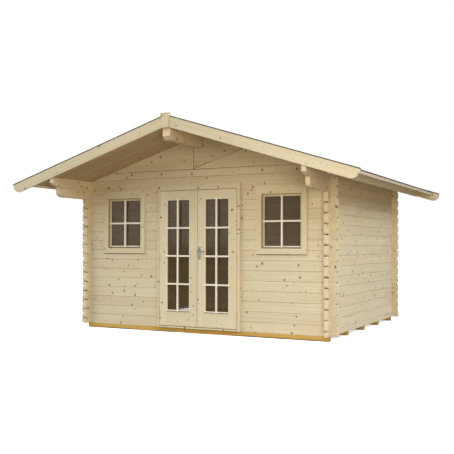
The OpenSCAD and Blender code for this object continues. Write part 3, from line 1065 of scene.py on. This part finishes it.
def moulding(name, opening, width, front, back, body):
    """A raised strip with a rounded face on each side of an opening."""
    in_front, made = lies_at(front), []
    for low, high, along in ring_of(opening.grown(width), width, front, back):
        strip = block("moulding", low, high)
        bevel_edges(strip, lambda a, b: in_front(a, b) and abs(a[along] - b[along]) > 0.02, 0.0035, 3)
        lay_grain(strip, one_board(strip, along, X if along == Z else Z))
        made.append(strip)
    hand_over(join(made, name), bar_spruce, "joinery_spruce", body)


def beads(name, opening, front, back, body):
    """Four strips round the back of a pane."""
    behind, made = lies_at(back), []
    for low, high, along in ring_of(opening.grown(glass_rebate), glass_rebate, front, back):
        strip = block("bead", low, high)
        bevel_edges(strip, lambda a, b: behind(a, b) and opening.edge(a, b), 0.006, 3)
        round_arrises(strip, 0.0008, 1)
        lay_grain(strip, one_board(strip, along, Y))
        made.append(strip)
    hand_over(join(made, name), joinery_spruce, "joinery_spruce", body)


# %% Dressing the leaves
bar_front, bar_back = leaf_low.y - 0.022, leaf_low.y - 0.0035
moulding_width = 0.010
seal_width, seal_depth = 0.005, 0.004
for side in ("left", "right"):
    opening = leaf_openings[side]
    body = f"{side}_door"
    glass_front, glass_back = (corner.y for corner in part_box(f"{side}_door_glass"))
    grille(f"{side}_door_grille", opening, bar_front, bar_back, 3, body, bottom_row=0.93)
    moulding(f"{side}_door_moulding", opening, moulding_width, leaf_low.y - 0.004, leaf_low.y, body)
    drip_bar(f"{side}_door_drip_bar", opening, bar_front + 0.006, bar_back, moulding_width, body)
    beads(f"{side}_door_beads", opening, glass_back, leaf_high.y, body)
    # The dark strip under the drip bar is painted shadow.
    shade_under_drip_bar = ((opening.left - 0.008, leaf_low.y - 0.008, opening.foot - drip_height - 0.006),
                      (opening.right + 0.008, leaf_low.y, opening.foot - drip_height), X)
    seal(f"{side}_door_seal",
         ring_of(opening, seal_width, glass_front - seal_depth, glass_front) + [shade_under_drip_bar], body)
print("bars, mouldings, beads and seals on both leaves")

# %% [markdown]
# ## Windows
#
# A fixed sash sits in the thickness of the wall, with board casings over the gap on the outside.
# The head and bottom casings run through and the side ones stand between them.

# %% Casings, sashes and crosses
sash_hidden = 0.010
sash_width = 0.030
glass_low, glass_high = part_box("window_glass")
for side in ("left", "right"):
    sash_low, sash_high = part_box(f"{side}_window_sash")
    casing_low, casing_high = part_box(f"{side}_window_casing")
    cased = Opening.filled_by(f"{side}_window_sash", sash_hidden)
    pane = Opening.filled_by(f"{side}_window_sash", sash_hidden + sash_width)
    joinery(f"{side}_window_sash", "house", pane, 0.004)
    joinery(f"{side}_window_casing", "house", cased, 0.003, rails_run_through=True)
    grille(f"{side}_window_cross", pane, front_face + 0.001, sash_low.y, 1, "house")
    drip_bar(f"{side}_window_drip_bar", pane, sash_low.y - 0.010, sash_low.y, 0.0, "house")
    beads(f"{side}_window_beads", pane, glass_high.y, sash_high.y, "house")
    # The dark strips round the sash and over its foot are a seal and painted shade in the gap; the one
    # under the casing is painted shadow on the wall.
    seal_and_shade_at_sash_foot = ((cased.left, sash_low.y - 0.012, cased.foot),
                      (cased.right, sash_low.y, cased.foot + 0.010), X)
    shade_under_casing = ((casing_low.x, front_face - 0.005, casing_low.z - 0.007),
                    (casing_high.x, front_face, casing_low.z), X)
    seal(f"{side}_window_seals",
         ring_of(pane, seal_width, glass_low.y - seal_depth, glass_low.y)
         + ring_of(cased, 0.003, sash_low.y - 0.006, sash_low.y) + [seal_and_shade_at_sash_foot, shade_under_casing],
         "house")
print("two windows ready")

# %% Glass in every pane
panes = ("left_door_glass", "right_door_glass", "window_glass")
for node in panes:
    nodes[node].material_slots[0].material = pane_glass
print(f"{len(panes)} sets of panes glazed")

# %% [markdown]
# ## Fittings
#
# Hinges, plates and the lever keep the shapes that the frame gives them, because the doors turn on
# them. They get fine arrises that catch the light. Screws are modelled once, with a square
# recess, and copied to each place, turned to face the way that their surface does. Those of the
# hinges are sunk into the flaps, so that the flaps can close on each other.

# %% Hinges and lever
def soften(piece, radius, segments=2):
    """Rounds the edges of a metal piece and shades its curves smooth."""
    round_arrises(piece, radius, segments, 40)
    take(piece)
    bpy.ops.object.shade_smooth_by_angle(angle=math.radians(28))


def fitting(node, body, radius, segments=2, slot="satin_steel"):
    piece = copy_of_node(node, node + "_metal")
    soften(piece, radius, segments)
    hand_over(piece, metals[slot], slot, body, node)


for node, body in (("frame_hinges", "house"), ("left_leaf_hinges", "left_door"),
                   ("right_leaf_hinges", "right_door")):
    fitting(node, body, 0.0006, slot="yellow_zinc")
fitting("door_lever", "lever", 0.0020, 3)
print("hinges and lever ready")

# %% Plates with round corners
plates = copy_of_node("handle_plates", "handle_plates_satin")
plate_low, plate_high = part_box("handle_plates")
bevel_edges(plates, lambda a, b: abs(a.y - b.y) > 0.003
            and min(abs(a.x - plate_low.x), abs(a.x - plate_high.x)) < touching
            and min(abs(a.z - plate_low.z), abs(a.z - plate_high.z)) < touching, 0.008, 5)
soften(plates, 0.0008)
hand_over(plates, metals["satin_steel"], "satin_steel", "right_door", "handle_plates")
print("handle plates ready")


# %% One screw head, copied to each place
def screw(radius, height):
    """A domed screw head with a square recess, at the origin and facing the front."""
    head = rod("screw", (0, 0.0005, 0), (0, -height, 0), radius, 12)
    bevel_edges(head, lambda a, b: a.y < 0 and b.y < 0, height * 0.55, 2)
    pick(head, "FACE", lambda face: face.normal.y < -0.99 and face.center.y < -height * 0.9)
    bpy.ops.mesh.inset(thickness=radius * 0.35)
    bpy.ops.mesh.extrude_region_move(TRANSFORM_OT_translate={"value": (0, height * 0.6, 0)})
    close()
    return head


front, right, rear, left = (Matrix.Rotation(math.radians(turn), 4, "Z") for turn in (0, 90, 180, 270))


def screws(name, places, radius, height, body, slot="satin_steel"):
    """Screw heads at places, each given as a point and the way it faces."""
    pattern = screw(radius, height)
    heads = []
    for spot, facing in places:
        head = copy_to(pattern, "screw")
        head.data.transform(Matrix.Translation(spot) @ facing)
        heads.append(head)
    bpy.data.objects.remove(pattern)
    hand_over(join(heads, name), metals[slot], slot, body)


# %% Screws of the bargeboards and plates
barge_low, barge_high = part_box("front_bargeboard_right")
barge_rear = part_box("rear_bargeboard_right")[1].y
barge_middle = 0.074
barge_screw_step = 0.038
barge_screw_places = (0.12, 0.62, 1.24, 1.83, 2.29)
places = []
for x in barge_screw_places:
    for side in (-1, 1):
        for step in (-barge_screw_step, barge_screw_step):
            z = barge_high.z - barge_middle - roof_slope * x + step
            places += [((side * x, barge_low.y, z), front), ((side * x, barge_rear, z), rear)]
screws("bargeboard_screws", places, 0.0045, 0.0016, "house")
print(f"{len(places)} bargeboard screws")

middle_x = (plate_low.x + plate_high.x) / 2
places = []
for z in (plate_low.z + 0.012, plate_high.z - 0.012):
    places += [((middle_x, plate_low.y, z), front), ((middle_x, plate_high.y, z), rear)]
screws("plate_screws", places, 0.004, 0.0016, "right_door")

# %% Screws of the hinges
hinge_low, hinge_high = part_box("frame_hinges")
hinge_half = 0.039
hinge_heights = (hinge_low.z + hinge_half, (hinge_low.z + hinge_high.z) / 2, hinge_high.z - hinge_half)
flap_thickness = 0.002
flap_middle = leaf_low.y + 0.017
for name, body, face, sides in (("frame_hinges", "house", clear_half - flap_thickness, (-1, 1)),
                                ("left_leaf_hinges", "left_door", leaf_high.x + flap_thickness, (-1,)),
                                ("right_leaf_hinges", "right_door", leaf_high.x + flap_thickness, (1,))):
    on_leaf = body != "house"
    places = [((side * face, flap_middle + zigzag, z + step), right if (side > 0) == on_leaf else left)
              for side in sides for z in hinge_heights
              for step, zigzag in ((-0.028, -0.005), (0, 0.005), (0.028, -0.005))]
    screws(f"{name}_screws", places, 0.0035, 0.0004, body, "yellow_zinc")
    print(f"{len(places)} screws in {name}")

# %% The lock cylinder
cylinder_reach = 0.0025
cylinder_z = plate_low.z + 0.034
cylinder = rod("lock_cylinder", (middle_x, plate_low.y - cylinder_reach, cylinder_z),
               (middle_x, plate_high.y + cylinder_reach, cylinder_z), 0.0085, 32)
soften(cylinder, 0.0008)
hand_over(cylinder, metals["satin_steel"], "satin_steel", "right_door")
print(f"lock cylinder {cylinder_z:.3f} m above the ground")

# %% [markdown]
# ## Clout nails in the felt
#
# Nails with broad flat heads hold each lap. One head is modelled with eight sides and repeated
# along the laps.

# %% Nails along the laps
nail_pitch = 0.15
nail_seat = 0.003
nail_count = int((sheet_rear - sheet_front - 0.1) / nail_pitch) + 1
pattern = rod("nail", (0, 0, 0), (0, 0, 0.0015), 0.005, 8)
pick(pattern, "FACE", lambda face: face.normal.z > 0.99)
bpy.ops.mesh.inset(thickness=0.0012)
bpy.ops.transform.translate(value=(0, 0, 0.0006))
close()
repeat(pattern, nail_count, nail_pitch)
rows = []
for side, x in lap_lines:
    z = sheet_ridge + nail_seat - roof_slope * x
    rows.append(copy_to(pattern, "nail_row", (side * x, sheet_front + 0.05, z)))
bpy.data.objects.remove(pattern)
hand_over(join(rows, "felt_nails"), metals["satin_steel"], "satin_steel", "house")
print(f"{len(lap_lines)} rows of {nail_count} nails")

# %% [markdown]
# ## Camera
#
# The house is seen from in front and from the right, 1.16 m above the ground. From so low, the
# underside of the overhang shows and the top of the roof does not.

# %% The camera
camera_spot = (4.763, -9.799, 1.156)
camera_turn, camera_tilt, camera_roll = 27.088, 91.488, 0.11
bpy.ops.object.camera_add(location=camera_spot)
camera = bpy.context.object
camera.name = "front_right_view"
camera.matrix_world = (Matrix.Translation(camera_spot)
                       @ Matrix.Rotation(math.radians(camera_turn), 4, "Z")
                       @ Matrix.Rotation(math.radians(camera_tilt), 4, "X")
                       @ Matrix.Rotation(math.radians(camera_roll), 4, "Z"))
camera.data.sensor_width = 36
camera.data.lens = 58.25
camera.data.clip_end = 200
bpy.context.scene.camera = camera
print(f"camera {camera.location.length:.1f} m from the middle of the house")

# %% [markdown]
# ## Floor and light
#
# A plain pale floor, and light as soft as an overcast sky, with one large lamp at the front right.
# The floor glows a little and leaves the house no shadow or tint, so the ground half of the sky
# lights the house from below instead.

# %% The floor
bpy.ops.object.select_all(action="DESELECT")
bpy.ops.mesh.primitive_plane_add(size=160, location=(0, 0, 0))
floor = bpy.context.object
floor.name = "pale_floor"
mix = Recipe("pale_floor")
place = mix.node("TexCoord", {}).other("Object")
tone = mix.noise(place, 0.5) * 0.02 + 0.90
paper = mix.node("BsdfPrincipled", {}, Base_Color=mix.vector(tone, tone, tone), Roughness=0.9,
                 Emission_Color=(1, 1, 1, 1), Emission_Strength=0.6)
floor.data.materials.append(mix.finish(paper))
floor.visible_diffuse = floor.visible_glossy = floor.visible_shadow = False
floor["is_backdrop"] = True
print("floor laid")

# %% The sky
# It is bright all round at middle height, but dim in front of the doors and low down, where only
# a pale patch stands at the front left. The camera sees it plain white.
mix = Recipe("studio", bpy.data.worlds)
x, y, height = mix.node("TexCoord", {}).split()
level = (x * x + y * y) ** 0.5
before_doors = (y * -1 / level).between(0.86, 0.95)
front_left = (x * -1 / level).between(0.36, 0.48) * (y * -1 / level).between(0.0, 0.1)
low_sky = mix.blend(front_left, (0.06, 0.07, 0.08, 1), (2.25, 2.20, 1.85, 1))
middle_sky = mix.blend(before_doors, (2.82, 3.06, 3.50, 1), (0.30, 0.62, 1.10, 1))
sky = mix.blend(height.between(-0.01, 0.01), (0.256, 0.226, 0.198, 1), low_sky)
sky = mix.blend(height.between(0.30, 0.38), sky, middle_sky)
sky = mix.blend(height.between(0.68, 0.73), sky, (0.56, 0.55, 0.94, 1))
seen = mix.node("LightPath", {}).other("Is Camera Ray")
sky = mix.blend(seen, sky, (1, 1, 1, 1))
bpy.context.scene.world = mix.finish(mix.node("Background", {}, sky), "OutputWorld")
bpy.context.scene.view_settings.view_transform = "Standard"
print("sky ready")

# %% The lamp
lamp_spot, lamp_aim = Vector((5.5, -7.5, 1.6)), Vector((0.6, 0, 1.2))
bpy.ops.object.light_add(type="AREA", location=lamp_spot)
lamp = bpy.context.object
lamp.name = "key"
lamp.rotation_euler = (lamp_spot - lamp_aim).to_track_quat("Z", "Y").to_euler()
lamp.data.size = 3.2
lamp.data.energy = 234
lamp.data.color = (1.0, 0.905, 0.80)
print(f"a lamp of {lamp.data.energy:.0f} W lights the front")

# %% [markdown]
# ## Size
#
# The dressed house must not grow past its frame, so both boxes are written down side by side.

# %% Size before the end
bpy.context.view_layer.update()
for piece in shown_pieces():
    piece.data.calc_loop_triangles()
